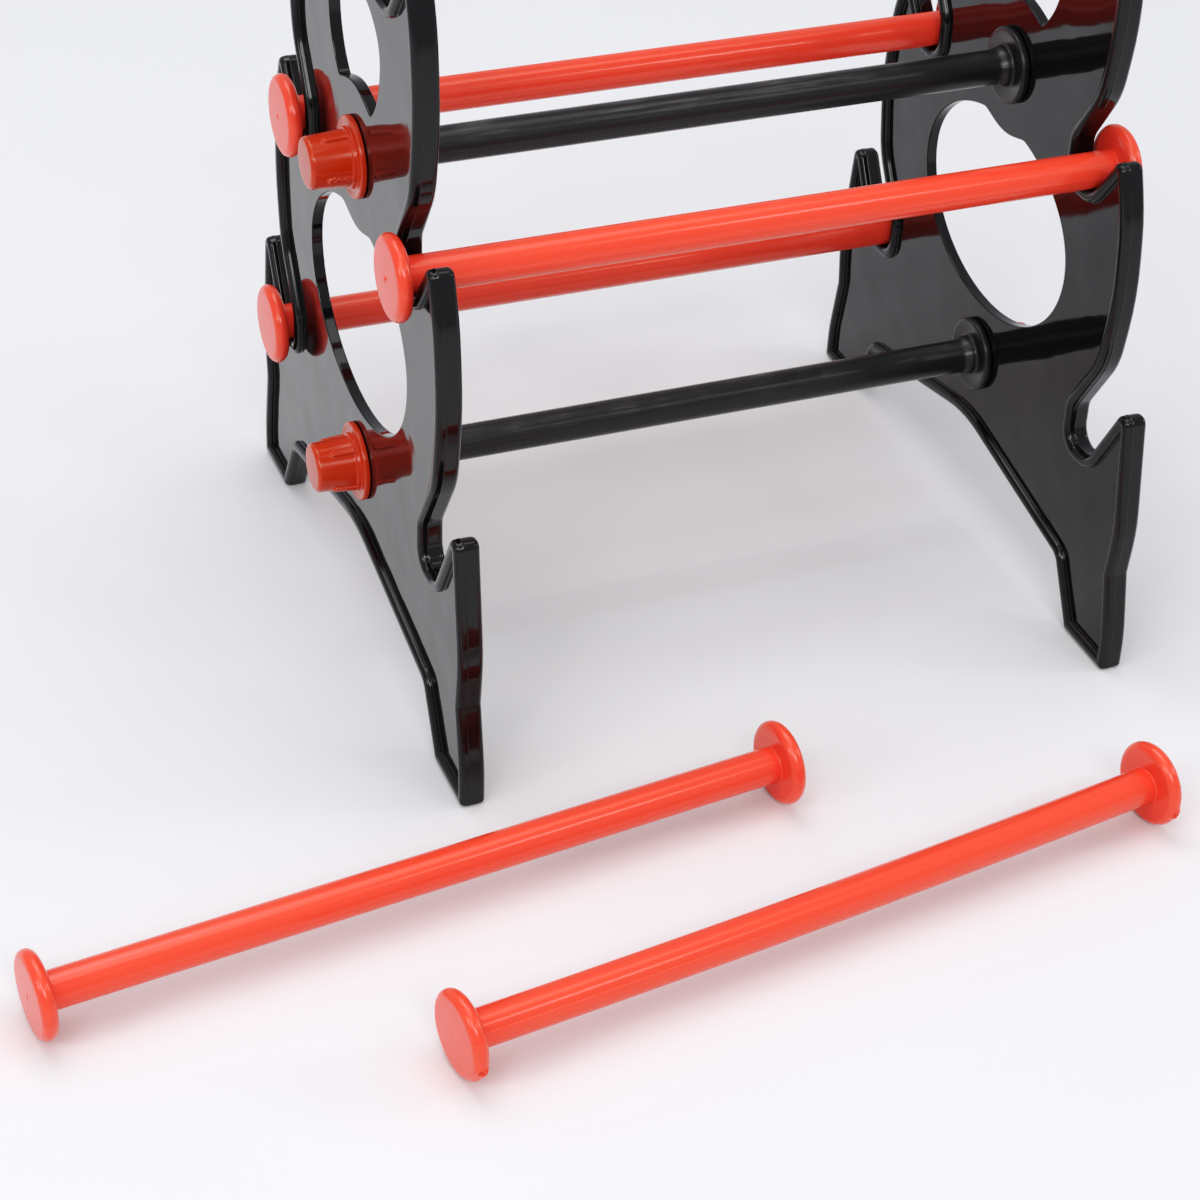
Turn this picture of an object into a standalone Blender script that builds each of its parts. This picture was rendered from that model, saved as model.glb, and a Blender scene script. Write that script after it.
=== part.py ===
"""Ladder toss frame: two notched side plates, two crossbars with end caps, and lift-out rungs.

Axes: X runs along the rungs from the left plate to the right plate, -Y is the front, Z is up.
The origin is the bottom centre of the whole set, two rungs laid on the ground in front included.
Sizes are written in millimetres and turned into metres by MM.
"""
from math import ceil, cos, pi, radians, sin, tan

import bmesh
import bpy
from mathutils import Matrix, Vector

MM = 0.001
GAP = 0.3                      # clearance kept between neighbouring pieces

# Side plates: a thin web inside a thicker rim, the same on both faces and front to rear
PLATE_PITCH = 300.0            # from one plate to the same face of the other
PLATE_THICK = 11.0
WEB_THICK = 5.0
RIM_WIDTH = 4.3
HEAD_TOP = 380.0
FOOT_FRONT = -145.7            # front edge of the sole, measured from the plate's middle
NOTCH_R = 10.65                # round bottom of a hook notch
NOTCHES = (                    # lowest point of each front notch: (y, z), bottom tier first
    (-101.3, 88.0),
    (-74.6, 204.3),
    (-44.8, 313.7),
)

# Windows in the web: half width, height of the widest level, reach below it and above it
LOWER_WINDOW = (66.0, 156.6, 49.0, 44.4)
UPPER_WINDOW = (33.5, 283.0, 36.0, 22.5)
BOSS_R = 32.0                  # web left round the upper crossbar where the windows come near

# Crossbars, with a collar inside each plate and a tenon through it
CROSSBAR_Z = {"lower": 81.7, "upper": 227.6}
CROSSBAR_R = 7.7
HUB_R = 10.0
HUB_LENGTH = 5.0
COLLAR_R = 17.0
COLLAR_THICK = 3.4
TENON_R = 6.0

# End caps pressed on the tenons
FLANGE_R = 17.3
FLANGE_THICK = 2.6
CAP_R = 11.8
STEP_R = 12.8                  # low ring between the grip and the flange
STEP_THICK = 1.5
CAP_END_R = 10.9
CAP_REACH = 174.0              # outer end of a cap from the middle of the frame
CAP_EDGE = 1.2
CAP_WALL = 3.0
RIB_LENGTH = 13.5
RIB_WIDTH = 1.9
RIB_COUNT = 4
RIB_TURN = 65.0                # degrees round the grip to the first rib

# Rungs: a rod with a rounded disc head at each end
RUNG_LENGTH = 327.8
ROD_R = 7.75
HEAD_R = 17.9
HEAD_THICK = 6.8
HEAD_EDGE = HEAD_THICK / 2

# Rungs lying on the ground, from the middle of the frame: (x, y, turn in degrees)
LOOSE_RUNGS = {
    "loose_rung_left": (-187.3, -199.0, 6.9),
    "loose_rung_right": (-46.3, -265.5, 8.6),
}
# Rungs hanging in the notches: (tier, +1 at the front or -1 at the rear, slid along X)
SEATED_RUNGS = {
    "front_middle_rung": (1, 1, 0.0),
    "rear_bottom_rung": (0, -1, -1.2),
    "rear_middle_rung": (1, -1, 0.0),
    "rear_top_rung": (2, -1, 0.0),
}

TURN_STEPS = 24
WINDOW_STEPS = 28
FILLET_STEP = 36.0             # degrees turned by one edge of a rounded corner
BLACK = (0.010, 0.010, 0.012)
SOFT_BLACK = (0.016, 0.016, 0.017)
RED = (0.80, 0.075, 0.030)


# ---------------------------------------------------------------- outlines

def fillet_points(before, corner, after, radius):
    """Arc that rounds one corner of an outline, kept inside its two edges."""
    point = Vector(corner)
    back = Vector(before) - point
    ahead = Vector(after) - point
    turn = pi - back.angle(ahead)
    if radius <= 0 or turn < radians(1):
        return [tuple(point)]
    room = 0.48 * min(back.length, ahead.length)
    tangent = min(radius * tan(turn / 2), room)
    radius = tangent / tan(turn / 2)
    inward = (back.normalized() + ahead.normalized()).normalized()
    centre = point + inward * radius / cos(turn / 2)
    start = point + back.normalized() * tangent - centre
    side = 1 if back.cross(ahead) < 0 else -1
    steps = ceil(turn / radians(FILLET_STEP))
    points = []
    for step in range(steps + 1):
        spoke = start.copy()
        spoke.rotate(Matrix.Rotation(side * turn * step / steps, 2))
        points.append(tuple(centre + spoke))
    return points


def rounded_outline(corners):
    """Closed outline from corners (y, z, radius)."""
    points = []
    for index, (y, z, radius) in enumerate(corners):
        before = corners[index - 1][:2]
        after = corners[(index + 1) % len(corners)][:2]
        points += fillet_points(before, (y, z), after, radius)
    return points


def inset_corners(corners, distance):
    """The same outline moved inward by a distance; corners run clockwise seen along -X."""
    moved = []
    for index, (y, z, radius) in enumerate(corners):
        point = Vector((y, z))
        into = (point - Vector(corners[index - 1][:2])).normalized()
        out = (Vector(corners[(index + 1) % len(corners)][:2]) - point).normalized()
        normal_in = Vector((into.y, -into.x))
        normal_out = Vector((out.y, -out.x))
        bisector = (normal_in + normal_out).normalized()
        shifted = point + bisector * distance / bisector.dot(normal_in)
        convex = into.cross(out) < 0
        new_radius = max(radius - distance, 0.3) if convex else radius + distance
        moved.append((shifted.x, shifted.y, new_radius))
    return moved


def notch_corners(tier, entry_slope):
    """Corners of one front notch, from its front wall round to the start of the belly behind it."""
    y, z = NOTCHES[tier]
    wall = Vector((sin(entry_slope), -cos(entry_slope)))
    touch = Vector((y, z + NOTCH_R)) + NOTCH_R * Vector((wall.y, -wall.x))
    foot = touch + wall * (touch.y - z) / -wall.y
    return [
        (foot.x, z, NOTCH_R),
        (y + NOTCH_R, z, NOTCH_R),
        (y + NOTCH_R, z + 17.7, 9.0),
    ]


def hook_tip_corners(tier, entry_slope, front_y, top_z, front_radius, rear_radius):
    """Two corners of the hook tip in front of a notch; the rear one lies on the notch's wall."""
    foot_y = notch_corners(tier, entry_slope)[0][0]
    rear_y = foot_y - (top_z - NOTCHES[tier][1]) * tan(entry_slope)
    return [(front_y, top_z, front_radius), (rear_y, top_z, rear_radius)]


def plate_corners():
    """Corners of the whole side plate: the front half, then its mirror image."""
    low_slope = radians(30.3)
    high_slope = radians(36.9)
    front = [
        (-95.0, 29.5, 6.0),            # inside of the knee
        (-111.1, 0.0, 2.0),            # rear corner of the sole
        (FOOT_FRONT, 0.0, 1.8),
        (-145.6, 16.5, 90.0),
        (-139.6, 49.8, 3.0),           # ankle
        (-142.2, 70.5, 80.0),
    ]
    front += hook_tip_corners(0, low_slope, -135.0, 123.3, 4.5, 3.5)
    front += notch_corners(0, low_slope)
    front += [(-109.2, 135.0, 40.0), (-114.6, 171.0, 130.0), (-110.0, 207.0, 90.0)]
    front += hook_tip_corners(1, high_slope, -102.5, 227.1, 3.5, 3.0)
    front += notch_corners(1, high_slope)
    front += [(-80.4, 247.5, 40.0), (-86.1, 282.0, 130.0), (-82.1, 316.5, 90.0)]
    front += hook_tip_corners(2, high_slope, -74.3, 338.2, 3.5, 3.0)
    front += notch_corners(2, high_slope)
    front += [(-42.3, 344.0, 10.0), (-42.8, 364.0, 20.0), (-24.0, HEAD_TOP, 30.0)]
    rear = [(-y, z, radius) for y, z, radius in reversed(front)]
    return [(0.0, 49.0, 70.0)] + front + rear


def window_outline(window):
    """Egg-shaped opening: two half ellipses that share their widest level."""
    half_width, level, below, above = window
    points = []
    for step in range(WINDOW_STEPS):
        angle = 2 * pi * step / WINDOW_STEPS
        reach = above if sin(angle) > 0 else below
        points.append((half_width * cos(angle), level + reach * sin(angle)))
    return points


def arc(centre_r, centre_h, radius, start, end, steps):
    """Points (r, h) of an arc in a turned profile, angles in degrees from the outward direction."""
    points = []
    for step in range(steps + 1):
        angle = radians(start + (end - start) * step / steps)
        points.append((centre_r + radius * cos(angle), centre_h + radius * sin(angle)))
    return points


# ---------------------------------------------------------------- objects

def clear_scene():
    for old in list(bpy.data.objects):
        bpy.data.objects.remove(old, do_unlink=True)


def new_collection(name):
    collection = bpy.data.collections.new(name)
    bpy.context.scene.collection.children.link(collection)
    return collection


def new_material(name, colour, roughness):
    material = bpy.data.materials.new(name)
    material.use_nodes = True
    shader = material.node_tree.nodes["Principled BSDF"]
    shader.inputs["Base Color"].default_value = (*colour, 1.0)
    shader.inputs["Roughness"].default_value = roughness
    shader.inputs["Metallic"].default_value = 0.0
    return material


def flat_solid(name, outline, thickness, middle_x, collection):
    """Flat piece in the YZ plane, cut from a sheet with its thickness along X."""
    curve = bpy.data.curves.new(name, "CURVE")
    curve.dimensions = "2D"
    curve.fill_mode = "BOTH"
    curve.extrude = thickness * MM / 2
    spline = curve.splines.new("POLY")
    spline.points.add(len(outline) - 1)
    for point, (y, z) in zip(spline.points, outline):
        point.co = (y * MM, z * MM, 0.0, 1.0)
    spline.use_cyclic_u = True
    drawn = bpy.data.objects.new(name + "_outline", curve)
    collection.objects.link(drawn)
    drawn.matrix_world = Matrix((
        (0, 0, 1, middle_x * MM),
        (1, 0, 0, 0),
        (0, 1, 0, 0),
        (0, 0, 0, 1),
    ))
    solid = made_real(drawn, name, collection)
    bpy.data.objects.remove(drawn)
    return solid


def made_real(source, name, collection):
    """New mesh object with the evaluated shape of another."""
    bpy.context.view_layer.update()
    depsgraph = bpy.context.evaluated_depsgraph_get()
    mesh = bpy.data.meshes.new_from_object(source.evaluated_get(depsgraph))
    mesh.name = name
    shape = bmesh.new()
    shape.from_mesh(mesh)
    bmesh.ops.remove_doubles(shape, verts=shape.verts, dist=0.00001)
    shape.to_mesh(mesh)
    shape.free()
    solid = bpy.data.objects.new(name, mesh)
    solid.matrix_world = source.matrix_world
    collection.objects.link(solid)
    return solid


def turned(name, profile, collection):
    """Solid turned about its own Z axis from a profile (r, h) that runs from top to bottom."""
    mesh = bpy.data.meshes.new(name)
    shape = bmesh.new()
    corners = [shape.verts.new((r * MM, 0.0, h * MM)) for r, h in profile]
    for first, second in zip(corners, corners[1:]):
        shape.edges.new((first, second))
    shape.to_mesh(mesh)
    shape.free()
    solid = bpy.data.objects.new(name, mesh)
    collection.objects.link(solid)
    screw = solid.modifiers.new("turn", "SCREW")
    screw.steps = TURN_STEPS
    screw.render_steps = TURN_STEPS
    screw.use_merge_vertices = True
    screw.merge_threshold = 0.00001
    return solid


def combine(target, tool, operation):
    boolean = target.modifiers.new(tool.name, "BOOLEAN")
    boolean.operation = operation
    boolean.solver = "EXACT"
    boolean.object = tool


def hide_tool(tool):
    tool.hide_render = True
    tool.display_type = "WIRE"


def finish_mesh(mesh, material, smooth):
    mesh.materials.clear()
    mesh.materials.append(material)
    if smooth:
        mesh.shade_smooth()
        mesh.set_sharp_from_angle(angle=radians(35))


def place(name, mesh, location, rotation, collection):
    """A piece of the object: its own node, with its origin where it is held."""
    piece = bpy.data.objects.new(name, mesh)
    piece.location = [value * MM for value in location]
    piece.rotation_euler = rotation
    collection.objects.link(piece)
    return piece


# ---------------------------------------------------------------- sub-parts

def plate_mesh(tools, material):
    """Side plate about its own mid-plane: slab, less a pocket in each face, windows and bores."""
    corners = plate_corners()
    slab = flat_solid("plate_slab", rounded_outline(corners), PLATE_THICK, 0.0, tools)
    pocket = rounded_outline(inset_corners(corners, RIM_WIDTH))
    cuts = []
    for side in (-1, 1):
        middle = side * (WEB_THICK / 2 + PLATE_THICK / 2)
        cuts.append(flat_solid("face_pocket", pocket, PLATE_THICK, middle, tools))
    boss = crossbar_disc("boss_keep", CROSSBAR_Z["upper"], BOSS_R, 3 * PLATE_THICK, 64, tools)
    for window in (LOWER_WINDOW, UPPER_WINDOW):
        opening = flat_solid("window", window_outline(window), 2 * PLATE_THICK, 0.0, tools)
        combine(opening, boss, "DIFFERENCE")
        cuts.append(opening)
    for height in CROSSBAR_Z.values():
        bore_r = TENON_R + GAP
        cuts.append(crossbar_disc("bore", height, bore_r, 2 * PLATE_THICK, TURN_STEPS, tools))
    for cut in cuts:
        combine(slab, cut, "DIFFERENCE")
    finished = made_real(slab, "side_plate", tools)
    for tool in cuts + [boss, slab, finished]:
        hide_tool(tool)
    finish_mesh(finished.data, material, False)
    finished.data.transform(finished.matrix_world)
    return finished.data


def crossbar_disc(name, height, radius, thickness, sides, collection):
    """Short cylinder on a crossbar's axis."""
    mesh = bpy.data.meshes.new(name)
    shape = bmesh.new()
    bmesh.ops.create_cone(shape, cap_ends=True, segments=sides, radius1=radius * MM,
                          radius2=radius * MM, depth=thickness * MM)
    shape.to_mesh(mesh)
    shape.free()
    disc = bpy.data.objects.new(name, mesh)
    disc.location = (0, 0, height * MM)
    disc.rotation_euler = (0, pi / 2, 0)
    collection.objects.link(disc)
    return disc


def crossbar_mesh(tools, material):
    """Turned crossbar: rod, hub and collar at each plate, tenon into the cap."""
    collar_face = (PLATE_PITCH - WEB_THICK) / 2 - GAP
    collar_back = collar_face - COLLAR_THICK
    hub_back = collar_back - HUB_LENGTH
    tenon_end = CAP_REACH - CAP_WALL - GAP
    half = [
        (0.0, tenon_end),
        (TENON_R - 0.6, tenon_end),
        (TENON_R, tenon_end - 0.6),
        (TENON_R, collar_face),
        (COLLAR_R, collar_face),
        (COLLAR_R, collar_back + 0.8),
        (COLLAR_R - 0.8, collar_back),
        (HUB_R, collar_back),
        (HUB_R - 0.9, hub_back + 2.0),
        (CROSSBAR_R, hub_back),
    ]
    profile = half + [(r, -h) for r, h in reversed(half)]
    bar = turned("crossbar_turned", profile, tools)
    return settled(bar, "crossbar", material, tools)


def cap_mesh(tools, material):
    """End cap along +Z: flange at its foot, tapered grip with ribs, blind bore for the tenon."""
    seat = (PLATE_PITCH + WEB_THICK) / 2 + GAP
    length = CAP_REACH - seat
    bore_r = TENON_R + GAP
    profile = [(0.0, length), (CAP_END_R - CAP_EDGE, length)]
    profile += arc(CAP_END_R - CAP_EDGE, length - CAP_EDGE, CAP_EDGE, 60, 0, 2)
    profile += [
        (CAP_R, FLANGE_THICK + STEP_THICK),
        (STEP_R, FLANGE_THICK + STEP_THICK),
        (STEP_R, FLANGE_THICK),
        (FLANGE_R - 0.6, FLANGE_THICK),
        (FLANGE_R, FLANGE_THICK - 0.6),
        (FLANGE_R, 0.0),
        (bore_r, 0.0),
        (bore_r, length - CAP_WALL),
        (0.0, length - CAP_WALL),
    ]
    cap = turned("cap_turned", profile, tools)
    ribs = []
    for index in range(RIB_COUNT):
        angle = radians(RIB_TURN) + 2 * pi * index / RIB_COUNT
        bpy.ops.mesh.primitive_cube_add(size=MM)
        rib = bpy.context.object
        rib.name = "grip_rib"
        rib.scale = (2.4, RIB_WIDTH, RIB_LENGTH)
        reach = CAP_R - 0.6
        rise = FLANGE_THICK / 2 + RIB_LENGTH / 2
        rib.location = Vector((reach * cos(angle), reach * sin(angle), rise)) * MM
        rib.rotation_euler = (0, 0, angle)
        move_to(rib, tools)
        combine(cap, rib, "UNION")
        ribs.append(rib)
    for rib in ribs:
        hide_tool(rib)
    return settled(cap, "end_cap", material, tools)


def move_to(thing, collection):
    for old in list(thing.users_collection):
        old.objects.unlink(thing)
    collection.objects.link(thing)


def rung_mesh(tools, material):
    """Rung about its middle: rod with a rounded disc head at each end."""
    end = RUNG_LENGTH / 2
    half = [(0.0, end)]
    half += arc(HEAD_R - HEAD_EDGE, end - HEAD_EDGE, HEAD_EDGE, 90, -90, 4)
    half += [(ROD_R, end - HEAD_THICK)]
    profile = half + [(r, -h) for r, h in reversed(half)]
    rod = turned("rung_turned", profile, tools)
    return settled(rod, "rung", material, tools)


def settled(source, name, material, tools):
    """Final shared mesh of a turned piece; the construction stays with the tools."""
    finished = made_real(source, name, tools)
    for tool in (source, finished):
        hide_tool(tool)
    finish_mesh(finished.data, material, True)
    return finished.data


# ---------------------------------------------------------------- layout

def head_reach(turn, towards):
    """How far a loose rung's head reaches from the rung's middle, along X or Y."""
    along, across = (cos(turn), sin(turn)) if towards == "x" else (sin(turn), cos(turn))
    return along * (RUNG_LENGTH / 2 - HEAD_EDGE) + across * (HEAD_R - HEAD_EDGE) + HEAD_EDGE


def frame_middle():
    """Where the middle of the frame stands, so that the whole set is centred on the origin."""
    lows_x = [x - head_reach(radians(turn), "x") for x, y, turn in LOOSE_RUNGS.values()]
    lows_y = [y - head_reach(radians(turn), "y") for x, y, turn in LOOSE_RUNGS.values()]
    return -(min(lows_x) + CAP_REACH) / 2, -(min(lows_y) - FOOT_FRONT) / 2


def build():
    clear_scene()
    parts = new_collection("ladder_toss_frame")
    tools = new_collection("construction")
    black = new_material("gloss_black_plastic", BLACK, 0.12)
    soft_black = new_material("satin_black_plastic", SOFT_BLACK, 0.38)
    red = new_material("red_plastic", RED, 0.30)
    cap_red = new_material("cap_red_plastic", RED, 0.26)
    x, y = frame_middle()
    lying = (0, pi / 2, 0)

    plate = plate_mesh(tools, black)
    place("left_side_plate", plate, (x - PLATE_PITCH / 2, y, 0), (0, 0, 0), parts)
    place("right_side_plate", plate, (x + PLATE_PITCH / 2, y, 0), (0, 0, 0), parts)

    bar = crossbar_mesh(tools, soft_black)
    cap = cap_mesh(tools, cap_red)
    seat = (PLATE_PITCH + WEB_THICK) / 2 + GAP
    for level, height in CROSSBAR_Z.items():
        place(level + "_crossbar", bar, (x, y, height), lying, parts)
        place(level + "_left_end_cap", cap, (x - seat, y, height), (0, -pi / 2, 0), parts)
        place(level + "_right_end_cap", cap, (x + seat, y, height), lying, parts)

    rung = rung_mesh(tools, red)
    for name, (tier, side, slide) in SEATED_RUNGS.items():
        notch_y, notch_z = NOTCHES[tier]
        axis_z = notch_z + GAP + ROD_R
        place(name, rung, (x + slide, y + side * notch_y, axis_z), lying, parts)
    for name, (rung_x, rung_y, turn) in LOOSE_RUNGS.items():
        place(name, rung, (x + rung_x, y + rung_y, HEAD_R), (0, pi / 2, radians(turn)), parts)


build()
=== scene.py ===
"""Ladder toss frame: the finished look of two side plates, crossbars, end caps and rungs.

Lengths are written in millimetres and turned into metres by MM. Every piece is placed from the
middle of the CAD lower crossbar's box, with the offsets given below, meant to sit where its CAD
node is.
"""
from math import atan2, ceil, cos, exp, hypot, pi, radians, sin, sqrt, tan

import bmesh
import bpy
from mathutils import Matrix, Vector
from mathutils.geometry import intersect_line_line, tessellate_polygon

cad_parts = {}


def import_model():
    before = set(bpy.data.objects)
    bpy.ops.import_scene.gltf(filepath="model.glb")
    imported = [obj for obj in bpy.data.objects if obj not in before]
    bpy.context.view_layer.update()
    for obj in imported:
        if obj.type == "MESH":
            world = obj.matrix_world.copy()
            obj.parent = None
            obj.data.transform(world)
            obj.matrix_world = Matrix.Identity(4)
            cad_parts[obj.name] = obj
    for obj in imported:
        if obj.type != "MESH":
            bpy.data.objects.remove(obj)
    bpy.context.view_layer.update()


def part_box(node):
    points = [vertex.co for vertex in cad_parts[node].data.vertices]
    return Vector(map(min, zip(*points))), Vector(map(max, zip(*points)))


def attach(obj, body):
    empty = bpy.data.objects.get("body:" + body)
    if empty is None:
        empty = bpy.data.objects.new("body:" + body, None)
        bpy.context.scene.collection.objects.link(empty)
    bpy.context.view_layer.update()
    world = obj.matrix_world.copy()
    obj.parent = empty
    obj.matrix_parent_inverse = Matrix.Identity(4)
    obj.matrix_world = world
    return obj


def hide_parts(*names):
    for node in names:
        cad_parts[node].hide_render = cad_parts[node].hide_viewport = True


MM = 0.001

# Side plates
HALF_PITCH = 150.0
HALF_THICK = 5.5
HALF_WEB = 2.5
PARTING = -1.6                 # the moulds met a little off the middle of the thickness
BEAD_R = 2.4                   # the rim's two long edges are rounded to a bead
HEAD_TOP = 380.0
NOTCH_R = 10.65
NOTCHES = ((-101.3, 88.0), (-74.6, 204.3), (-44.8, 313.7))
# Windows: half width, height of the widest level, reach below and above, rounding at the boss
LOWER_WINDOW = (66.0, 156.6, 49.0, 44.4, 5.0)
UPPER_WINDOW = (33.5, 283.0, 36.0, 22.5, 11.0)
BOSS_R = 32.0
CROSSBAR_Z = {"lower": 81.7, "upper": 227.6}
BORE_R = 6.3
CORNER_STEP = 5.0              # degrees turned by one edge of a rounded corner
ENTRY_SLOPES = (30.3, 36.9, 36.9)   # lean of each notch's front wall from upright, in degrees
# Hook tips: front edge, top, rounding in front and behind
HOOK_TIPS = ((-135.0, 123.6, 5.5, 4.5), (-102.5, 227.5, 4.8, 3.8), (-74.3, 338.6, 4.8, 3.8))
# The rest of the front outline, as corners (y, z, rounding): foot, then what follows each notch
FOOT = (
    (-95.0, 29.5, 6.0), (-111.1, 0.0, 2.0), (-145.7, 0.0, 1.8),
    (-145.6, 16.5, 90.0), (-139.7, 47.0, 3.0), (-142.2, 70.5, 80.0),
)
BELLIES = (
    ((-109.2, 135.0, 40.0), (-114.6, 171.0, 130.0), (-110.0, 207.0, 90.0)),
    ((-80.4, 247.5, 40.0), (-86.1, 282.0, 130.0), (-82.1, 316.5, 90.0)),
    ((-42.3, 344.0, 10.0), (-42.8, 364.0, 20.0), (-24.0, HEAD_TOP, 30.0)),
)
ARCH_TOP = (0.0, 49.0, 70.0)

# Crossbars
CROSSBAR_R = 7.7
HUB_R = 8.9
HUB_LENGTH = 6.0
COLLAR_R = 17.0
COLLAR_THICK = 3.4
TENON_R = 6.0
FIT_GAP = 0.3

# End caps
FLANGE_R = 17.3
FLANGE_THICK = 2.6
CAP_R = 11.8
CAP_END_R = 10.9
CAP_REACH = 174.0
CAP_WALL = 3.0
STEP_R = 12.8                  # low ring between the grip and the flange
STEP_THICK = 1.5
RIB_END = 14.5                 # how far up the grip a rib runs
RIB_HALF_WIDTH = 1.3
RIB_HEIGHT = 1.15
# How far each cap is turned on its tenon
CAP_TURNS = {
    "lower_left_end_cap": -35.0,
    "lower_right_end_cap": 20.0,
    "upper_left_end_cap": -19.0,
    "upper_right_end_cap": -30.0,
}

# Rungs
RUNG_HALF = 163.9
ROD_R = 7.75
HEAD_R = 17.9
HEAD_THICK = 6.8
HEAD_EDGE = 3.3
SEATED_RUNGS = {
    "front_middle_rung": (1, 1, 0.0),
    "rear_bottom_rung": (0, -1, -1.2),
    "rear_middle_rung": (1, -1, 0.0),
    "rear_top_rung": (2, -1, 0.0),
}
LOOSE_RUNGS = {
    "loose_rung_left": (-187.3, -199.0, 6.9),
    "loose_rung_right": (-46.3, -265.5, 8.6),
}
# Where each rung's parting line lies round the rod, and the gate mark on its left head
SEAM_ANGLES = {
    "front_middle_rung": 272.0,
    "rear_bottom_rung": 150.0,
    "rear_middle_rung": 170.0,
    "rear_top_rung": 185.0,
    "loose_rung_left": 95.0,
    "loose_rung_right": 243.0,
}
GATE_MARKS = {
    "front_middle_rung": "pimple",
    "rear_bottom_rung": "hollow",
    "rear_middle_rung": "star",
    "rear_top_rung": "slit",
    "loose_rung_left": "slit",
    "loose_rung_right": "hollow",
}
NICKED_RUNG = "loose_rung_right"
NICK_ANGLE = -76.0             # where the torn gate sits round its heads
BOW = (0.9, -1.3)              # that rung sags a little in the middle: down, forward

# Camera, from the middle of the frame
CAMERA_PLACE = (-469.2, -1036.0, 771.5)
CAMERA_YAW = -22.666
CAMERA_DOWN = 35.127
CAMERA_ROLL = 2.481
CAMERA_LENS = 88.36


# Lights: place and size in metres, power in watts; all aim at one spot in the frame
LIGHT_TARGET = (0.05, 0.0, 0.1)
LIGHTS = {
    "left_window": ((-1.7, -0.6, 1.0), (0.35, 0.5), 3.5),
    "right_window": ((1.8, -0.5, 1.0), (0.35, 0.5), 3.5),
    "front_light": ((-0.4, -2.6, 2.2), (1.1, 0.8), 18.5),
    "front_left_light": ((-1.2, -1.4, 2.2), (1.5, 1.5), 10.5),
    "left_spark": ((-1.1, -1.2, 1.6), (0.12, 0.25), 1.6),
    "right_spark": ((1.0, -1.3, 1.8), (0.12, 0.25), 1.6),
    "top_light": ((0.1, 0.1, 2.6), (1.8, 1.8), 13.5),
    "rear_top_light": ((-0.3, 1.0, 2.3), (1.4, 1.4), 11.0),
}
SKY_COLOUR = (0.93, 0.95, 1.0, 1.0)
SKY_STRENGTH = 0.55
FLOOR_SIZE = 14.0
FLOOR_DROP = 0.0002            # keeps the floor just under the soles
# Tone curve's points, before and after
TONE_POINTS = ((0.04, 0.024), (0.08, 0.062), (0.17, 0.19), (0.45, 0.46))


# ---------------------------------------------------------------- outlines

def turn_at(before, corner, after):
    """How far an outline turns at a corner, in radians."""
    back = Vector(before) - Vector(corner)
    ahead = Vector(after) - Vector(corner)
    return pi - back.angle(ahead)


def fillet_points(before, corner, after, radius, steps):
    """Arc of a fixed number of edges that rounds one corner, kept inside its two edges."""
    point = Vector(corner)
    back = Vector(before) - point
    ahead = Vector(after) - point
    turn = pi - back.angle(ahead)
    room = 0.485 * min(back.length, ahead.length)
    tangent = min(radius * tan(turn / 2), room)
    radius = tangent / tan(turn / 2)
    inward = (back.normalized() + ahead.normalized()).normalized()
    centre = point + inward * radius / cos(turn / 2)
    start = point + back.normalized() * tangent - centre
    side = 1 if back.cross(ahead) < 0 else -1
    points = []
    for step in range(steps + 1):
        spoke = start.copy()
        spoke.rotate(Matrix.Rotation(side * turn * step / steps, 2))
        points.append(tuple(centre + spoke))
    return points


def corner_steps(corners):
    """Number of edges that each rounded corner gets, the same for every inset of the outline."""
    steps = []
    for index, corner in enumerate(corners):
        after = corners[(index + 1) % len(corners)][:2]
        turn = turn_at(corners[index - 1][:2], corner[:2], after)
        steps.append(max(3, ceil(turn / radians(CORNER_STEP))))
    return steps


def inset_corners(corners, distance):
    """The same outline moved inward by a distance."""
    moved = []
    for index, (y, z, radius) in enumerate(corners):
        point = Vector((y, z))
        into = (point - Vector(corners[index - 1][:2])).normalized()
        out = (Vector(corners[(index + 1) % len(corners)][:2]) - point).normalized()
        normal_in = Vector((into.y, -into.x))
        normal_out = Vector((out.y, -out.x))
        bisector = (normal_in + normal_out).normalized()
        shifted = point + bisector * distance / bisector.dot(normal_in)
        convex = into.cross(out) < 0
        new_radius = max(radius - distance, 0.25) if convex else radius + distance
        moved.append((shifted.x, shifted.y, new_radius))
    return without_turned_edges(corners, moved)


def without_turned_edges(corners, moved):
    """Moved corners, with each edge that was too short for the move drawn in to a point."""
    kept = list(moved)
    for index, corner in enumerate(moved):
        after = (index + 1) % len(moved)
        old_run = Vector(corners[after][:2]) - Vector(corners[index][:2])
        run = Vector(moved[after][:2]) - Vector(corner[:2])
        if run.dot(old_run) > 0.5 * old_run.length:
            continue
        beyond = moved[(index + 2) % len(moved)]
        spots = (moved[index - 1], corner, moved[after], beyond)
        sides = [Vector((*spot[:2], 0)) for spot in spots]
        meet = intersect_line_line(*sides)[0].to_2d()
        back = (sides[0].to_2d() - meet).normalized() * 0.25
        ahead = (sides[3].to_2d() - meet).normalized() * 0.25
        kept[index] = (*(meet + back), 0.15)
        kept[after] = (*(meet + ahead), 0.15)
    return kept


def rounded_outline(corners, steps):
    """Points of the outline with every corner rounded."""
    points = []
    for index, (y, z, radius) in enumerate(corners):
        before = corners[index - 1][:2]
        after = corners[(index + 1) % len(corners)][:2]
        points += fillet_points(before, (y, z), after, radius, steps[index])
    return points


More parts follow.
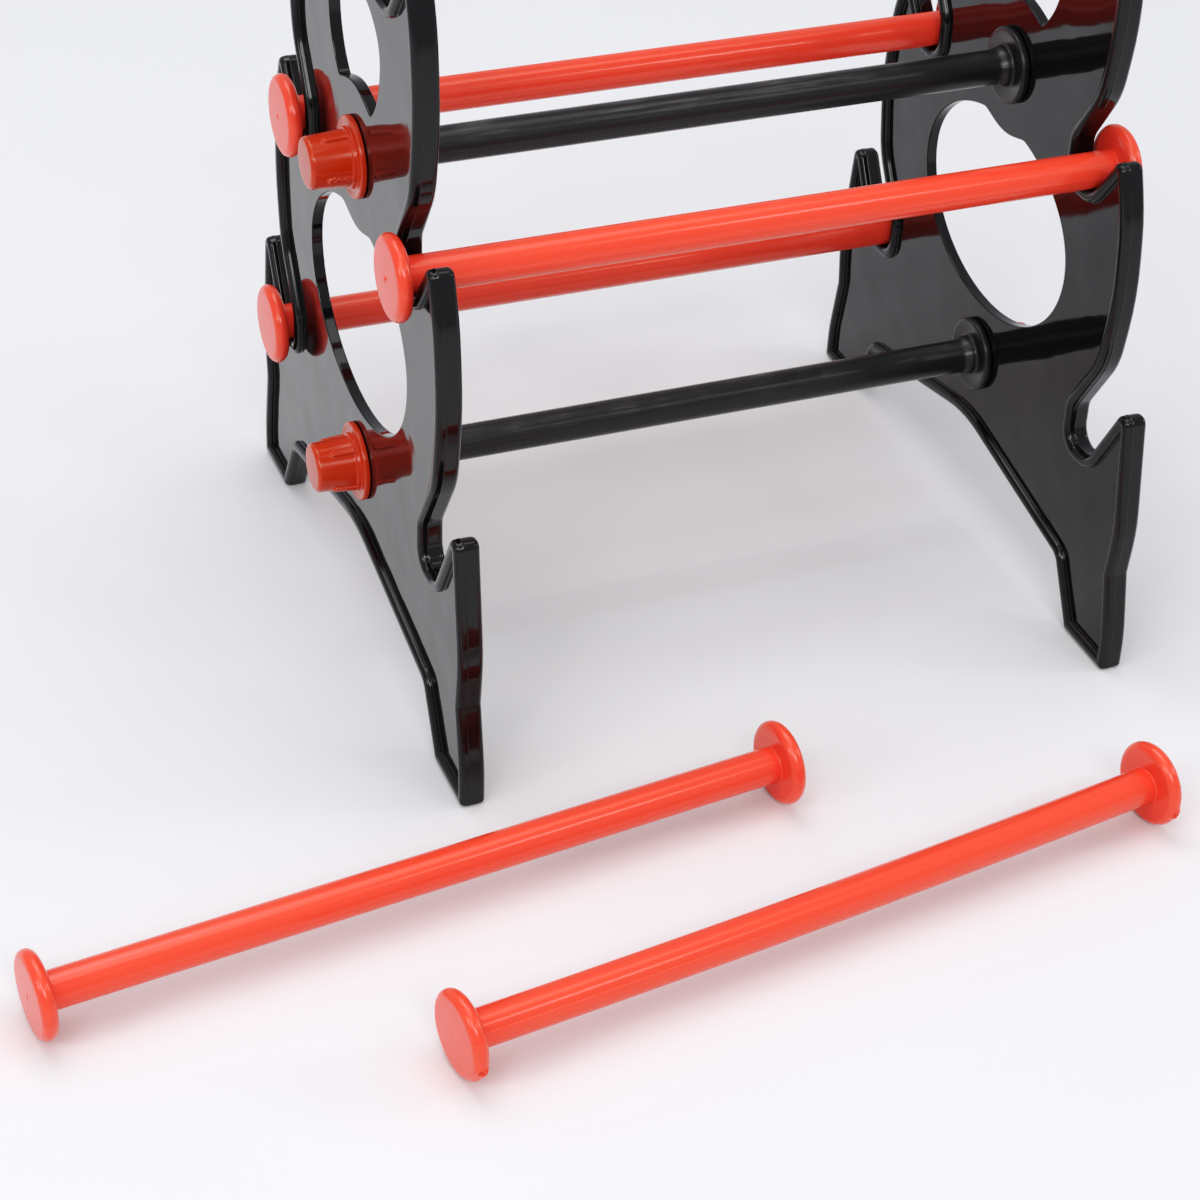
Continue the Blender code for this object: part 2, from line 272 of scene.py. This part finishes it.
def notch_corners(tier):
    """Corners of one front notch, from its front wall round to the start of the belly."""
    y, z = NOTCHES[tier]
    slope = radians(ENTRY_SLOPES[tier])
    wall = Vector((sin(slope), -cos(slope)))
    touch = Vector((y, z + NOTCH_R)) + NOTCH_R * Vector((wall.y, -wall.x))
    foot = touch + wall * (touch.y - z) / -wall.y
    return [(foot.x, z, NOTCH_R), (y + NOTCH_R, z, NOTCH_R), (y + NOTCH_R, z + 17.7, 9.0)]


def tip_corners(tier):
    """Two corners of the hook tip in front of a notch; the rear one lies on the notch's wall."""
    front_y, top_z, front_radius, rear_radius = HOOK_TIPS[tier]
    foot_y = notch_corners(tier)[0][0]
    rear_y = foot_y - (top_z - NOTCHES[tier][1]) * tan(radians(ENTRY_SLOPES[tier]))
    return [(front_y, top_z, front_radius), (rear_y, top_z, rear_radius)]


def plate_corners():
    """Corners of the whole side plate: the front half, then its mirror image."""
    front = list(FOOT)
    for tier, belly in enumerate(BELLIES):
        front += tip_corners(tier) + notch_corners(tier) + list(belly)
    rear = [(-y, z, radius) for y, z, radius in reversed(front)]
    return [ARCH_TOP] + front + rear


def window_outline(window, count):
    """Egg-shaped opening whose edge bends round the boss of the upper crossbar."""
    half_width, level, below, above, shoulder = window
    points = []
    for step in range(count):
        angle = 2 * pi * step / count
        across, up = cos(angle), sin(angle)
        reach = above if up > 0 else below
        to_edge = 1 / hypot(across / half_width, up / reach)
        rise = CROSSBAR_Z["upper"] - level
        along = rise * up
        hidden = along * along - rise * rise + BOSS_R * BOSS_R
        if along > 0 and hidden > 0:
            to_boss = along - sqrt(hidden)
            blend = max(shoulder - abs(to_edge - to_boss), 0) / shoulder
            to_edge = min(to_edge, to_boss) - blend * blend * shoulder / 4
        points.append((to_edge * across, level + to_edge * up))
    return points


def circle_outline(radius, level, count):
    """Points of a round opening at a level."""
    angles = [2 * pi * step / count for step in range(count)]
    return [(radius * cos(angle), level + radius * sin(angle)) for angle in angles]


def widened(outline, distance):
    """A hole's outline moved outward by a small distance."""
    moved = []
    for index, (y, z) in enumerate(outline):
        ahead = Vector(outline[(index + 1) % len(outline)])
        run = (ahead - Vector(outline[index - 1])).normalized()
        moved.append((y + run.y * distance, z - run.x * distance))
    return moved


def arc(centre, radius, start, end, steps):
    """Points of an arc in a section, angles in degrees."""
    points = []
    for step in range(steps + 1):
        angle = radians(start + (end - start) * step / steps)
        points.append((centre[0] + radius * cos(angle), centre[1] + radius * sin(angle)))
    return points


def smooth_step(low, high, value):
    """0 below low, 1 above high, eased between; runs downward when low is above high."""
    share = min(max((value - low) / (high - low), 0.0), 1.0)
    return share * share * (3 - 2 * share)


def turn_from(angle, other):
    """Signed angle between two directions, from -pi to pi."""
    return (angle - other + pi) % (2 * pi) - pi


# ---------------------------------------------------------------- meshes

def quads_between(first, second, count):
    """Faces between two closed rings given by their first vertex numbers."""
    faces = []
    for step in range(count):
        after = (step + 1) % count
        faces.append((first + step, first + after, second + after, second + step))
    return faces


def finished_mesh(name, points, faces, flat_faces=(), sharp_angle=None):
    """Closed mesh, smooth but for the faces named flat; every edge round those is sharp."""
    mesh = bpy.data.meshes.new(name)
    mesh.from_pydata([Vector(point) * MM for point in points], [], list(faces) + list(flat_faces))
    shape = bmesh.new()
    shape.from_mesh(mesh)
    shape.faces.ensure_lookup_table()
    flats = {shape.faces[len(faces) + step] for step in range(len(flat_faces))}
    bmesh.ops.recalc_face_normals(shape, faces=shape.faces)
    for face in shape.faces:
        face.smooth = True
    for edge in shape.edges:
        if len({face in flats for face in edge.link_faces}) == 2:
            edge.smooth = False
        elif sharp_angle and edge.calc_face_angle(0.0) > radians(sharp_angle):
            edge.smooth = False
    shape.to_mesh(mesh)
    shape.free()
    return mesh


def rim_section():
    """Section (inset, x) of the rim, from the web's left face round the bead to its right face."""
    rows = []
    for side in (-1, 1):
        top = HALF_THICK - BEAD_R
        wall = 0.12
        half = [(-0.09, PARTING + side * 0.10), (-0.01, PARTING + side * 0.24)]
        half += [(0.01, PARTING + side * 0.42), (wall - 0.02, side * (top - 0.25))]
        half += [(inset, side * x) for inset, x in arc((wall + BEAD_R, top), BEAD_R, 180, 90, 9)]
        inner = (wall + BEAD_R + 0.45, top)
        half += [(inset, side * x) for inset, x in arc(inner, BEAD_R, 90, 4, 8)]
        foot = (inner[0] + BEAD_R + 0.5, HALF_WEB + 0.5)
        half += [(inset, side * x) for inset, x in arc(foot, 0.5, 180, 270, 4)]
        rows.append(half)
    return rows[0][::-1] + [(-0.13, PARTING)] + rows[1]


def hole_section(edge):
    """Section (widening, x) of a hole's wall, from the web's left face to its right face."""
    half = [(0.0, HALF_WEB - edge - 0.2)]
    half += arc((edge, HALF_WEB - edge), edge, 180, 90, 4)
    return [(inset, -x) for inset, x in half[::-1]] + [(0.0, 0.0)] + half


def plate_mesh():
    corners = plate_corners()
    steps = corner_steps(corners)
    points = []
    faces = []

    def add_wall(section, outline_at):
        """Rings of one wall from the left face to the right one; returns its two end rings."""
        starts = []
        for inset, x in section:
            outline = outline_at(inset)
            starts.append(len(points))
            points.extend((x, y, z) for y, z in outline)
            count = len(outline)
        for first, second in zip(starts, starts[1:]):
            faces.extend(quads_between(first, second, count))
        return range(starts[0], starts[0] + count), range(starts[-1], starts[-1] + count)

    walls = [add_wall(rim_section(), lambda d: rounded_outline(inset_corners(corners, d), steps))]
    holes = [
        (window_outline(LOWER_WINDOW, 160), 0.5),
        (window_outline(UPPER_WINDOW, 128), 0.5),
        (circle_outline(BORE_R, CROSSBAR_Z["lower"], 40), 0.25),
        (circle_outline(BORE_R, CROSSBAR_Z["upper"], 40), 0.25),
    ]
    for outline, edge in holes:
        walls.append(add_wall(hole_section(edge), lambda d, hole=outline: widened(hole, d)))
    web = []
    for end in (0, 1):
        rings = [wall[end] for wall in walls]
        numbers = [number for ring in rings for number in ring]
        drawn = [[Vector(points[number][1:] + (0.0,)) for number in ring] for ring in rings]
        web += [tuple(numbers[corner] for corner in face) for face in tessellate_polygon(drawn)]
    return finished_mesh("side_plate", points, faces, web)


def spread_angles(count, centres, half_width, fine_count):
    """Angles round a turned piece, in radians: even, with fine steps near the given centres."""
    coarse = [2 * pi * step / count for step in range(count)]
    angles = []
    for angle in coarse:
        offsets = [abs(turn_from(angle, centre)) for centre in centres]
        if not offsets or min(offsets) > half_width * 1.15:
            angles.append(angle)
    for centre in centres:
        for step in range(fine_count + 1):
            offset = half_width * (2 * step / fine_count - 1)
            angles.append((centre + offset) % (2 * pi))
    return sorted(angles)


def turned_mesh(name, profile, angles, reshape=None, sharp_angle=50):
    """Closed solid turned about Z; reshape(x, y, h) may move each point a little."""
    points = []
    starts = []
    for radius, height in profile:
        starts.append(len(points))
        around = [0.0] if radius == 0 else angles
        for angle in around:
            place = (radius * cos(angle), radius * sin(angle), height)
            points.append(reshape(*place) if reshape else place)
    faces = []
    count = len(angles)
    for index in range(len(profile) - 1):
        first, second = starts[index], starts[index + 1]
        if profile[index][0] == 0:
            faces += [(first, second + k, second + (k + 1) % count) for k in range(count)]
        elif profile[index + 1][0] == 0:
            faces += [(second, first + k, first + (k + 1) % count) for k in range(count)]
        else:
            faces += quads_between(first, second, count)
    return finished_mesh(name, points, faces, (), sharp_angle)


def gate_mark(kind, x, y):
    """Height of the moulding mark in the middle of a head's face."""
    away = hypot(x, y)
    if away > 3.0:
        return 0.0
    if kind == "slit":
        return -0.5 * exp(-(y / 0.42) ** 2) * exp(-(x / 1.5) ** 4)
    if kind == "star":
        arms = abs(sin(2 * atan2(y, x)))
        return 0.35 * exp(-(away / 1.5) ** 2) * (1 - arms) - 0.12 * exp(-(away / 2.2) ** 2)
    if kind == "pimple":
        return 0.55 * exp(-(away / 0.75) ** 2) - 0.2 * exp(-((away - 1.5) / 0.5) ** 2)
    return -0.18 * exp(-(away / 1.2) ** 2)


def torn_gate(angle, radius, h):
    """Outward rise where the plastic was torn off at a head's edge: a lip round a ragged pit."""
    along = turn_from(angle, radians(NICK_ANGLE)) * radius
    across = abs(h) - (RUNG_HALF - HEAD_THICK / 2)
    ragged = 0.3 * sin(4.1 * along + 2.0 * across) * sin(3.3 * across + 1.0)
    lip = 1.3 * exp(-((along / 1.9) ** 4)) * exp(-((across / 2.3) ** 4))
    pit = 3.0 * exp(-((along / 1.15) ** 4)) * exp(-((across / 1.5) ** 4))
    return (lip - pit) * (1 + ragged)


def rung_mesh(name, seam_angle, mark, nicked):
    """Rung along Z: rod with a fine parting ridge, rounded disc heads, a gate mark on each face."""
    end = RUNG_HALF
    back = end - HEAD_THICK
    half = [(0.0, end)]
    half += [(0.25 * step, end) for step in range(1, 13)]
    half += [(5.0, end - 0.02), (9.0, end - 0.08), (12.5, end - 0.16), (13.7, end - 0.2)]
    flat_r = HEAD_R - HEAD_EDGE
    half += arc((flat_r, end - 0.2 - HEAD_EDGE), HEAD_EDGE, 90, -90, 30 if nicked else 18)
    half += [(12.0, back), (9.2, back)]
    half += arc((ROD_R + 0.5, back - 0.5), 0.5, 90, 180, 4)
    half += [(ROD_R, back - 1.0), (ROD_R, back - 4.0)]
    half += [(ROD_R, step * 12.0) for step in range(12, 0, -1)]
    profile = half + [(ROD_R, 0.0)] + [(r, -h) for r, h in reversed(half)]
    seams = [radians(seam_angle) % (2 * pi), radians(seam_angle + 180) % (2 * pi)]
    centres = seams + [radians(NICK_ANGLE) % (2 * pi)] if nicked else seams
    angles = spread_angles(72, centres, 0.15, 20)

    def reshape(x, y, h):
        radius = hypot(x, y)
        sag = 1 - (h / end) ** 2 if nicked else 0.0
        sag_x, sag_y = BOW[0] * sag, BOW[1] * sag
        if abs(h) > end - 0.6 and radius < 3.2:
            side = 1 if h > 0 else -1
            return (x, y, h + side * gate_mark(mark, x, y))
        if radius < ROD_R - 0.5:
            return (x, y, h)
        angle = atan2(y, x)
        nearest = min(abs(turn_from(angle, seam)) for seam in seams)
        rise = 0.15 * exp(-(nearest * radius / 0.28) ** 2)
        if nicked and radius > HEAD_R - 2.8:
            rise += torn_gate(angle, radius, h)
        lift = 1 + rise / radius
        return (x * lift + sag_x, y * lift + sag_y, h)

    return turned_mesh(name, profile, angles, reshape)


def crossbar_mesh():
    """Crossbar along Z: rod, hub and collar at each plate, tenon into the cap."""
    face = HALF_PITCH - HALF_WEB - FIT_GAP
    back = face - COLLAR_THICK
    tip = CAP_REACH - CAP_WALL - FIT_GAP
    half = [(0.0, tip), (TENON_R - 0.8, tip), (TENON_R, tip - 0.8), (TENON_R, face + 0.05)]
    half += [(TENON_R, face), (COLLAR_R - 0.4, face)]
    half += arc((COLLAR_R - 0.6, face - 0.6), 0.6, 90, 0, 4)
    half += arc((COLLAR_R - 1.4, back + 1.4), 1.4, 0, -90, 8)
    half += [(COLLAR_R - 2.4, back + 0.05), (COLLAR_R - 3.2, back + 0.25)]
    half += [(HUB_R + 1.5, back + 0.25)]
    half += arc((HUB_R + 1.2, back - 0.9), 1.2, 80, 180, 5)
    for step in range(1, 9):
        share = step / 8
        flare = (HUB_R - CROSSBAR_R) * (1 - smooth_step(0.0, 1.0, share))
        half.append((CROSSBAR_R + flare, back - 1.6 - (HUB_LENGTH - 1.6) * share))
    half += [(CROSSBAR_R, back - HUB_LENGTH - 3.0)]
    half += [(CROSSBAR_R, step * 25.0) for step in (5, 4, 3, 2, 1)]
    profile = half + [(CROSSBAR_R, 0.0)] + [(r, -h) for r, h in reversed(half)]
    seams = [radians(70), radians(250)]
    angles = spread_angles(72, seams, 0.075, 8)

    def reshape(x, y, h):
        radius = hypot(x, y)
        if radius < CROSSBAR_R - 0.2:
            return (x, y, h)
        angle = atan2(y, x)
        nearest = min(abs(turn_from(angle, seam)) for seam in seams)
        lift = 1 + 0.07 * exp(-(nearest * radius / 0.26) ** 2) / radius
        return (x * lift, y * lift, h)

    return turned_mesh("crossbar", profile, angles, reshape)


def cap_mesh(name, rib_turn, flawed):
    """End cap along Z: flange, tapered grip with four round-ended ribs, blind bore."""
    seat = HALF_PITCH + HALF_WEB + FIT_GAP
    length = CAP_REACH - seat
    edge = 1.9
    profile = [(0.0, length), (4.0, length - 0.02), (CAP_END_R - edge - 0.8, length - 0.1)]
    profile += arc((CAP_END_R - edge, length - edge - 0.12), edge, 84, 0, 7)
    bottom = FLANGE_THICK + STEP_THICK + 0.35
    top = length - edge - 0.4
    rows = 46
    for row in range(1, rows + 1):
        share = row / rows
        profile.append((CAP_END_R + (CAP_R - CAP_END_R) * share, top + (bottom - top) * share))
    shelf = FLANGE_THICK + STEP_THICK
    profile += arc((CAP_R + 0.3, shelf + 0.3), 0.3, 180, 270, 2)[1:]
    profile += arc((STEP_R - 0.4, shelf - 0.4), 0.4, 90, 0, 3)
    profile += arc((STEP_R + 0.4, FLANGE_THICK), 0.4, 180, 270, 3)
    profile += [(FLANGE_R - 2.3, FLANGE_THICK - 0.4), (FLANGE_R - 1.6, FLANGE_THICK - 0.1)]
    profile += arc((FLANGE_R - 1.0, FLANGE_THICK - 1.0), 1.0, 100, 0, 6)
    profile += arc((FLANGE_R - 0.3, 0.3), 0.3, 0, -90, 3)
    profile += [(BORE_R + 0.4, 0.0), (BORE_R, 0.4), (BORE_R, length - CAP_WALL)]
    profile += [(0.0, length - CAP_WALL)]
    ribs = [rib_turn + pi / 2 * step for step in range(4)]
    angles = spread_angles(64, [rib % (2 * pi) for rib in ribs], 0.2, 28)

    def reshape(x, y, h):
        radius = hypot(x, y)
        if radius < CAP_END_R - 2.5 or radius > STEP_R + 0.1 or h < FLANGE_THICK + STEP_THICK:
            return (x, y, h)
        angle = atan2(y, x)
        offset, index = min(
            (abs(turn_from(angle, rib)) * radius, step)
            for step, rib in enumerate(ribs)
        )
        past_end = max(h - (RIB_END - RIB_HALF_WIDTH), 0.0)
        away = hypot(offset, past_end)
        bump = RIB_HEIGHT * smooth_step(RIB_HALF_WIDTH + 0.25, RIB_HALF_WIDTH - 0.45, away)
        if flawed and index == 3:
            froth = sin(h * 3.1) * sin(h * 1.7 + 1.0) * sin(offset * 4.0 + h)
            froth *= smooth_step(RIB_END + 0.5, RIB_END - 3.0, h) * smooth_step(6.0, 9.0, h)
            bump += 0.9 * froth * smooth_step(2.8, 0.8, away)
        lift = 1 + bump / radius
        return (x * lift, y * lift, h)

    return turned_mesh(name, profile, angles, reshape, 60)


# ---------------------------------------------------------------- materials

class Nodes:
    """Short way to add and join shader nodes in one material."""

    def __init__(self, name):
        self.material = bpy.data.materials.new(name)
        self.material.use_nodes = True
        self.tree = self.material.node_tree
        self.shader = self.tree.nodes["Principled BSDF"]

    def add(self, kind, settings=None, **inputs):
        node = self.tree.nodes.new("ShaderNode" + kind)
        for key, value in (settings or {}).items():
            setattr(node, key, value)
        for key, value in inputs.items():
            self.feed(node, key.replace("_", " "), value)
        return node

    def feed(self, node, key, value):
        socket = node.inputs[key] if isinstance(key, str) else node.inputs[int(key)]
        if isinstance(value, bpy.types.NodeSocket):
            self.tree.links.new(value, socket)
        else:
            socket.default_value = value

    def coordinates(self, stretch=(1, 1, 1)):
        """Object coordinates in millimetres, shifted by a different amount on every piece."""
        place = self.add("TexCoord").outputs["Object"]
        scaled = self.add("VectorMath", {"operation": "MULTIPLY"})
        self.feed(scaled, 0, place)
        self.feed(scaled, 1, tuple(1000 * value for value in stretch))
        shift = self.add("VectorMath", {"operation": "ADD"})
        self.feed(shift, 0, scaled.outputs[0])
        chance = self.add("ObjectInfo").outputs["Random"]
        jump = self.add("VectorMath", {"operation": "SCALE"})
        self.feed(jump, 0, (371.0, 113.0, 257.0))
        self.feed(jump, "Scale", chance)
        self.feed(shift, 1, jump.outputs[0])
        return shift.outputs[0]

    def object_x(self):
        """Object coordinate X in metres."""
        place = self.add("TexCoord").outputs["Object"]
        return self.add("SeparateXYZ", Vector=place).outputs["X"]

    def noise(self, vector, size, detail=2.0, roughness=0.5):
        """Noise from 0 to 1 whose blobs are about size millimetres across."""
        node = self.add("TexNoise", Vector=vector, Scale=1 / size, Detail=detail,
                        Roughness=roughness)
        return node.outputs["Fac"]

    def ramp(self, value, low, high, out_low=0.0, out_high=1.0):
        node = self.add("MapRange")
        for key, number in (("From Min", low), ("From Max", high),
                            ("To Min", out_low), ("To Max", out_high)):
            self.feed(node, key, number)
        self.feed(node, "Value", value)
        return node.outputs["Result"]

    def math(self, operation, first, second):
        node = self.add("Math", {"operation": operation})
        self.feed(node, 0, first)
        self.feed(node, 1, second)
        return node.outputs[0]

    def blend(self, factor, first, second):
        """Colour mixed between two colours."""
        node = self.add("Mix", {"data_type": "RGBA"})
        self.feed(node, 0, factor)
        self.feed(node, 6, first)
        self.feed(node, 7, second)
        return node.outputs[2]

    def specks(self, vector, spacing, size, share):
        """1 on small irregular specks, about size across; only a share of the cells has one."""
        wobble = self.add("TexNoise", Vector=vector, Scale=0.9 / size, Detail=2.0)
        bent = self.add("VectorMath", {"operation": "MULTIPLY_ADD"})
        self.feed(bent, 0, wobble.outputs["Color"])
        self.feed(bent, 1, (size, size, size))
        self.feed(bent, 2, vector)
        cells = self.add("TexVoronoi", Vector=bent.outputs[0], Scale=1 / spacing)
        near = self.ramp(cells.outputs["Distance"], 0.6 * size / spacing, 0.35 * size / spacing)
        chance = self.add("SeparateColor", Color=cells.outputs["Color"]).outputs[0]
        picked = self.math("LESS_THAN", chance, share)
        return self.math("MULTIPLY", near, picked)

    def bump(self, height, distance, before=None):
        node = self.add("Bump", Height=height, Distance=distance, Strength=1.0)
        if before is not None:
            self.feed(node, "Normal", before)
        return node.outputs["Normal"]

    def finish(self, **inputs):
        for key, value in inputs.items():
            self.feed(self.shader, key.replace("_", " "), value)
        return self.material


def rgb(red, green, blue):
    return (red, green, blue, 1.0)


def gloss_black():
    """Polished moulded plastic: slow waves in the sheen, smears, hairline scratches, dust."""
    nodes = Nodes("plate_gloss_black")
    place = nodes.coordinates()
    waves = nodes.noise(place, 34.0, 1.5)
    smear = nodes.noise(nodes.coordinates((1, 0.35, 1)), 26.0, 4.0, 0.6)
    grain = nodes.noise(place, 0.35, 2.0)
    scratches = nodes.noise(nodes.coordinates((1, 0.06, 1.6)), 1.4, 3.0)
    scratch = nodes.ramp(scratches, 0.66, 0.74)
    dust = nodes.specks(place, 11.0, 0.6, 0.30)
    fine_dust = nodes.specks(place, 4.5, 0.28, 0.20)
    dirt = nodes.math("MAXIMUM", dust, fine_dust)
    base = nodes.blend(smear, rgb(0.0045, 0.0045, 0.0051), rgb(0.0065, 0.0065, 0.0070))
    colour = nodes.blend(dirt, base, rgb(0.24, 0.22, 0.18))
    gloss = nodes.ramp(smear, 0.35, 0.75, 0.035, 0.10)
    on_rim = nodes.ramp(nodes.math("ABSOLUTE", nodes.object_x(), 0.0), 0.0026, 0.0034)
    gloss = nodes.math("ADD", gloss, nodes.math("MULTIPLY", on_rim, 0.12))
    gloss = nodes.math("ADD", gloss, nodes.math("MULTIPLY", scratch, 0.08))
    gloss = nodes.math("MAXIMUM", gloss, nodes.math("MULTIPLY", dirt, 0.7))
    normal = nodes.bump(waves, 0.00055)
    normal = nodes.bump(grain, 0.0000006, normal)
    return nodes.finish(Base_Color=colour, Roughness=gloss, Normal=normal, IOR=1.5)


def satin_black():
    """Crossbar plastic: satin, with pale lengthwise scuffs on the rod's top that also paint a
    highlight band there.
    """
    nodes = Nodes("crossbar_satin_black")
    place = nodes.coordinates()
    along = nodes.coordinates((1, 1, 0.04))
    cloud = nodes.noise(place, 22.0, 3.0)
    streaks = nodes.noise(along, 1.3, 4.0, 0.65)
    scuff_and_top_sheen = nodes.math("MULTIPLY", nodes.ramp(streaks, 0.46, 0.72), nodes.ramp(cloud, 0.44, 0.62))
    # The scuffs are kept to the rod's top, where their pale colour is also a painted highlight
    # band.
    on_top = nodes.ramp(nodes.object_x(), -0.0022, -0.0062)
    scuff_and_top_sheen = nodes.math("MULTIPLY", scuff_and_top_sheen, on_top)
    dust = nodes.specks(place, 7.0, 0.3, 0.25)
    base = nodes.blend(cloud, rgb(0.0100, 0.0102, 0.0102), rgb(0.0135, 0.0138, 0.0135))
    # Pale scuff colour: partly real scuff marks, partly painted highlight along the top of the rod.
    base = nodes.blend(scuff_and_top_sheen, base, rgb(0.085, 0.085, 0.083))
    colour = nodes.blend(dust, base, rgb(0.25, 0.23, 0.2))
    gloss = nodes.ramp(streaks, 0.3, 0.75, 0.27, 0.36)
    grain = nodes.noise(place, 0.45, 3.0)
    normal = nodes.bump(grain, 0.00002)
    normal = nodes.bump(streaks, 0.000008, normal)
    return nodes.finish(Base_Color=colour, Roughness=gloss, Normal=normal, IOR=1.47,
                        Specular_IOR_Level=0.6)


def red_plastic(name, low, high, gloss):
    """Red-orange moulded plastic: slight colour flow, a few pale specks."""
    nodes = Nodes(name)
    place = nodes.coordinates()
    flow = nodes.noise(nodes.coordinates((1, 1, 0.12)), 20.0, 3.0, 0.5)
    grain = nodes.noise(place, 0.5, 3.0)
    dust = nodes.specks(place, 9.0, 0.3, 0.10)
    base = nodes.blend(flow, low, high)
    colour = nodes.blend(nodes.math("MULTIPLY", dust, 0.6), base, rgb(0.9, 0.5, 0.4))
    normal = nodes.bump(grain, 0.000008)
    return nodes.finish(Base_Color=colour, Roughness=gloss, Normal=normal, IOR=1.49,
                        Subsurface_Weight=0.05, Subsurface_Scale=0.002)


def floor_material():
    nodes = Nodes("pale_floor")
    place = nodes.add("TexCoord").outputs["Object"]
    cloud = nodes.noise(place, 0.25, 2.0)
    colour = nodes.blend(cloud, rgb(0.80, 0.80, 0.81), rgb(0.83, 0.83, 0.84))
    return nodes.finish(Base_Color=colour, Roughness=0.75, Specular_IOR_Level=0.15)


# ---------------------------------------------------------------- layout

def place_piece(name, mesh, material, matrix, body, node):
    """A finished piece that stands for one CAD node and moves with its body."""
    mesh.materials.clear()
    mesh.materials.append(material)
    piece = bpy.data.objects.new(name, mesh)
    bpy.context.scene.collection.objects.link(piece)
    piece.matrix_world = matrix
    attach(piece, body)
    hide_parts(node)
    return piece


def standing_at(x, y, z):
    return Matrix.Translation(Vector((x, y, z)) * MM)


def frame_middle():
    """Middle of the stand in millimetres, from the box of a crossbar."""
    low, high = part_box("lower_crossbar")
    middle = (low + high) / 2 / MM
    return middle.x, middle.y


def add_plates(x, y):
    material = gloss_black()
    for side, way in (("left", -1), ("right", 1)):
        mesh = plate_mesh()
        spot = standing_at(x + way * HALF_PITCH, y, 0)
        name = side + "_plate_shell"
        place_piece(name, mesh, material, spot, "stand", side + "_side_plate")


def add_crossbars(x, y):
    material = satin_black()
    lying = Matrix.Rotation(pi / 2, 4, "Y")
    for level, height in CROSSBAR_Z.items():
        spot = standing_at(x, y, height) @ lying
        name = level + "_bar"
        mesh = crossbar_mesh()
        place_piece(name, mesh, material, spot, "stand", level + "_crossbar")


def add_caps(x, y):
    shades = rgb(0.54, 0.036, 0.003), rgb(0.61, 0.044, 0.004)
    material = red_plastic("cap_gloss_red", *shades, 0.19)
    seat = HALF_PITCH + HALF_WEB + FIT_GAP
    for level, height in CROSSBAR_Z.items():
        for side, way in (("left", -1), ("right", 1)):
            node = level + "_" + side + "_end_cap"
            flawed = node == "upper_left_end_cap"
            mesh = cap_mesh(node + "_shape", radians(CAP_TURNS[node]), flawed)
            spot = standing_at(x + way * seat, y, height) @ Matrix.Rotation(way * pi / 2, 4, "Y")
            name = level + "_" + side + "_cap"
            place_piece(name, mesh, material, spot, node + "_body", node)


def add_rungs(x, y):
    shades = rgb(0.86, 0.070, 0.037), rgb(0.90, 0.079, 0.043)
    material = red_plastic("rung_satin_red", *shades, 0.20)
    lying = Matrix.Rotation(pi / 2, 4, "Y")
    spots = {}
    for node, (tier, side, slide) in SEATED_RUNGS.items():
        notch_y, notch_z = NOTCHES[tier]
        axis_z = notch_z + FIT_GAP + ROD_R
        spots[node] = standing_at(x + slide, y + side * notch_y, axis_z) @ lying
    for node, (rung_x, rung_y, turn) in LOOSE_RUNGS.items():
        spot = standing_at(x + rung_x, y + rung_y, HEAD_R)
        spots[node] = spot @ Matrix.Rotation(radians(turn), 4, "Z") @ lying
    for node, spot in spots.items():
        nicked = node == NICKED_RUNG
        mesh = rung_mesh(node + "_shape", SEAM_ANGLES[node], GATE_MARKS[node], nicked)
        name = node.replace("_rung", "") + "_red_rung"
        place_piece(name, mesh, material, spot, node + "_body", node)


def add_floor():
    bpy.ops.mesh.primitive_plane_add(size=FLOOR_SIZE, location=(0, 0, -FLOOR_DROP))
    floor = bpy.context.object
    floor.name = "floor"
    floor.data.materials.append(floor_material())


def add_light(name, place, size, power):
    """White rectangular area light that points at the common target."""
    data = bpy.data.lights.new(name, "AREA")
    data.shape = "RECTANGLE"
    data.size, data.size_y = size
    data.energy = power
    lamp = bpy.data.objects.new(name, data)
    bpy.context.scene.collection.objects.link(lamp)
    lamp.location = place
    aim = Vector(LIGHT_TARGET) - Vector(place)
    lamp.rotation_euler = aim.to_track_quat("-Z", "Y").to_euler()


def add_lights():
    for name, (place, size, power) in LIGHTS.items():
        add_light(name, place, size, power)
    world = bpy.data.worlds.new("studio")
    bpy.context.scene.world = world
    world.use_nodes = True
    background = world.node_tree.nodes["Background"]
    background.inputs["Color"].default_value = SKY_COLOUR
    background.inputs["Strength"].default_value = SKY_STRENGTH


def add_camera(x, y):
    data = bpy.data.cameras.new("camera")
    data.lens = CAMERA_LENS
    data.sensor_width = 36.0
    camera = bpy.data.objects.new("camera", data)
    bpy.context.scene.collection.objects.link(camera)
    aim = Matrix.Rotation(radians(CAMERA_YAW), 4, "Z")
    aim = aim @ Matrix.Rotation(radians(90 - CAMERA_DOWN), 4, "X")
    aim = aim @ Matrix.Rotation(radians(CAMERA_ROLL), 4, "Z")
    across, back, up = CAMERA_PLACE
    camera.matrix_world = standing_at(x + across, y + back, up) @ aim
    bpy.context.scene.camera = camera


def add_tone_curve():
    """Deeper blacks than a straight picture, the rest almost unchanged."""
    view = bpy.context.scene.view_settings
    view.view_transform = "Standard"
    view.use_curve_mapping = True
    mapping = view.curve_mapping
    curve = mapping.curves[3]
    for before, after in TONE_POINTS:
        curve.points.new(before, after)
    mapping.update()


def main():
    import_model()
    x, y = frame_middle()
    add_camera(x, y)
    add_plates(x, y)
    add_crossbars(x, y)
    add_caps(x, y)
    add_rungs(x, y)
    add_floor()
    add_lights()
    add_tone_curve()


main()
